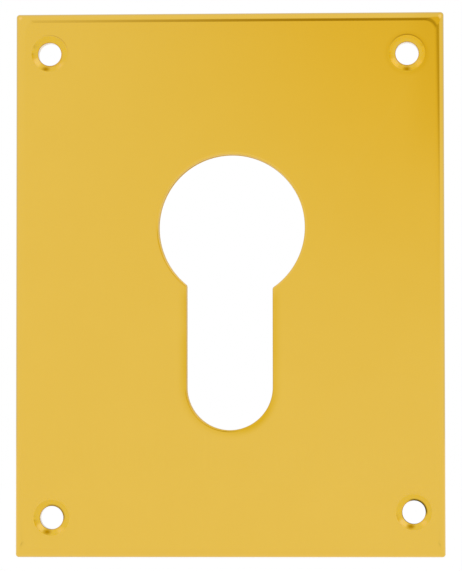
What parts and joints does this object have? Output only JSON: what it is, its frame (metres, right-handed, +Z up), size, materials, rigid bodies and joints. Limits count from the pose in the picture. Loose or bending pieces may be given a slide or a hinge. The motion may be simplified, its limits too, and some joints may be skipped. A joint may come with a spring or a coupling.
{
  "type": "keyhole escutcheon",
  "caption": "Flat rectangular polished brass escutcheon plate with a profile-cylinder cut-out, softly rounded front edges and countersunk screw holes near the corners.",
  "frame": {"origin": "on the axis of the cut-out's round lobe, in the plane of the flat back", "axes": "+Z up the plate's height, +X to the right seen from the front, polished face looks along -Y, back against the door at Y = 0"},
  "size_m": [0.052, 0.002, 0.066],
  "materials": {
    "polished_brass": "polished and lacquered face and edges, mill finish on the back"
  },
  "bodies": {
    "root": {"escutcheon_plate": "polished_brass"}
  },
  "joints": []
}
